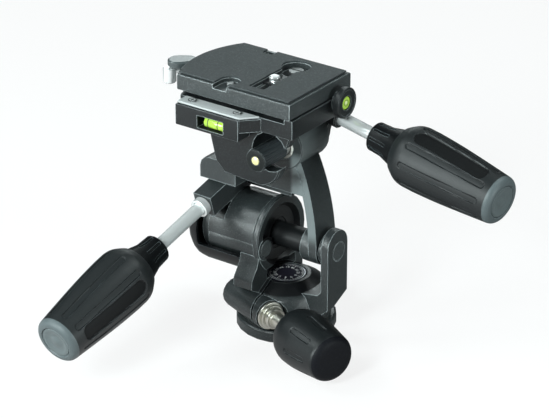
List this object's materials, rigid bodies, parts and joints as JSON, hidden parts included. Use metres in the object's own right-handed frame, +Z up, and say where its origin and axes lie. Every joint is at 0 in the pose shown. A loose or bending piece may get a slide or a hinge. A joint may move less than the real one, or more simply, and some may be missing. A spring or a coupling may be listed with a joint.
{
  "type": "pan tilt head",
  "caption": "Three way pan and tilt head for a tripod: clamped base, tilt barrel with spring cover, curved arm, levelled platform with quick release plate, and rubber handles.",
  "frame": {"origin": "middle of the base's underside, on the pan axis", "axes": "+Z up along the pan axis, +X the side that the side handle points to, -Y the side that the front tilt handle points to"},
  "size_m": [0.2264, 0.1937, 0.1627],
  "materials": {
    "casting": "black textured satin paint",
    "cover": "smooth black satin",
    "grip": "matte soft rubber",
    "pad": "fine grained matte",
    "chrome": "polished",
    "nickel": "bright nickel plated",
    "steel": "satin",
    "black_steel": "black oxide",
    "screw": "zinc plated",
    "brass": "polished",
    "level_cover": "black gloss with pale reflections",
    "vial": "clear yellow-green",
    "liner": "natural polymer",
    "dial": "satin"
  },
  "bodies": {
    "base_body": {"base_disc": "casting", "thread_bush": "steel", "slip_washer": "liner", "hub_circlip": "steel", "pan_dial": "dial"},
    "pan_body": {"yoke_casting": "casting", "pan_liner": "liner", "clamp_insert": "brass", "stop_plug": "cover", "barrel_bearing_left": "liner", "barrel_bearing_right": "liner", "ear_pin": "cover", "spring_cover": "cover"},
    "pan_knob_body": {"pan_screw": "nickel", "pan_washer_large": "nickel", "pan_washer_small": "nickel", "pan_knob_core": "cover", "pan_knob_cover": "grip"},
    "tilt_body": {"tilt_frame": "casting", "tilt_axle": "black_steel", "arm_bush": "liner", "tilt_spring": "steel", "tilt_brake_shoe": "steel", "side_bearing_front": "liner", "side_bearing_rear": "liner"},
    "tilt_handle_body": {"tilt_rod": "chrome", "tilt_collar": "chrome", "tilt_grip_core": "cover", "tilt_grip_sleeve": "grip"},
    "side_body": {"platform": "casting", "side_axle": "steel", "side_spring": "steel", "side_brake_shoe": "steel", "level_cover": "level_cover", "cover_screw_left": "screw", "cover_screw_right": "screw", "bar_level_vial": "vial", "end_level_housing": "casting", "end_level_vial": "vial", "lever_pin": "steel"},
    "side_handle_body": {"side_rod": "chrome", "side_grip_core": "cover", "side_grip_sleeve": "grip"},
    "selector_body": {"spring_selector": "cover", "selector_dot": "brass"},
    "lever_body": {"lock_lever": "casting"},
    "catch_body": {"safety_catch": "chrome"},
    "plate_body": {"camera_plate": "casting", "plate_pad": "pad", "stored_screw": "chrome", "key_pin": "steel"},
    "slider_body": {"slot_slider": "steel"},
    "camera_screw_body": {"camera_screw": "chrome"}
  },
  "joints": [
    {"name": "pan", "type": "hinge", "parent": "base_body", "child": "pan_body", "pos_m": [0, 0, 0.018], "axis": [0, 0, 1], "continuous": true},
    {"name": "pan_lock_knob", "type": "hinge", "parent": "pan_body", "child": "pan_knob_body", "pos_m": [-0.00821, -0.02138, 0.018], "axis": [0.9336, -0.3584, 0], "range_deg": [0, 270]},
    {"name": "front_tilt", "type": "hinge", "parent": "pan_body", "child": "tilt_body", "pos_m": [0, 0, 0.0572], "axis": [1, 0, 0], "range_deg": [-90, 30]},
    {"name": "tilt_handle_turn", "type": "hinge", "parent": "tilt_body", "child": "tilt_handle_body", "pos_m": [-0.0367, 0, 0.0869], "axis": [-0.042, -0.9608, -0.274], "range_deg": [0, 270]},
    {"name": "side_tilt", "type": "hinge", "parent": "tilt_body", "child": "side_body", "pos_m": [0.0045, 0, 0.12], "axis": [0, 1, 0], "range_deg": [-35, 45]},
    {"name": "side_handle_turn", "type": "hinge", "parent": "side_body", "child": "side_handle_body", "pos_m": [0, 0.0165, 0.139], "axis": [0.985, -0.0862, -0.1495], "range_deg": [0, 270]},
    {"name": "spring_selector_turn", "type": "hinge", "parent": "side_body", "child": "selector_body", "pos_m": [0.0045, 0, 0.12], "axis": [0, 1, 0], "range_deg": [0, 90]},
    {"name": "plate_lift", "type": "slide", "parent": "side_body", "child": "plate_body", "axis": [0, 0, 1], "range_m": [0, 0.03]},
    {"name": "slider_travel", "type": "slide", "parent": "plate_body", "child": "slider_body", "axis": [0, 1, 0], "range_m": [-0.012, 0.0045]},
    {"name": "camera_screw_turn", "type": "hinge", "parent": "slider_body", "child": "camera_screw_body", "pos_m": [-0.0005, -0.0113, 0.1602], "axis": [0, 0, 1], "continuous": true},
    {"name": "lock_lever_swing", "type": "hinge", "parent": "side_body", "child": "lever_body", "pos_m": [-0.046, 0.0165, 0.1452], "axis": [0, 0, -1], "range_deg": [0, 35], "stiffness_Nm_per_rad": 0.1, "springref_deg": -28.65},
    {"name": "safety_catch_press", "type": "slide", "parent": "lever_body", "child": "catch_body", "axis": [0.7283, 0.6853, 0], "range_m": [0, 0.0017], "stiffness_N_per_m": 600, "springref_m": -0.002}
  ]
}
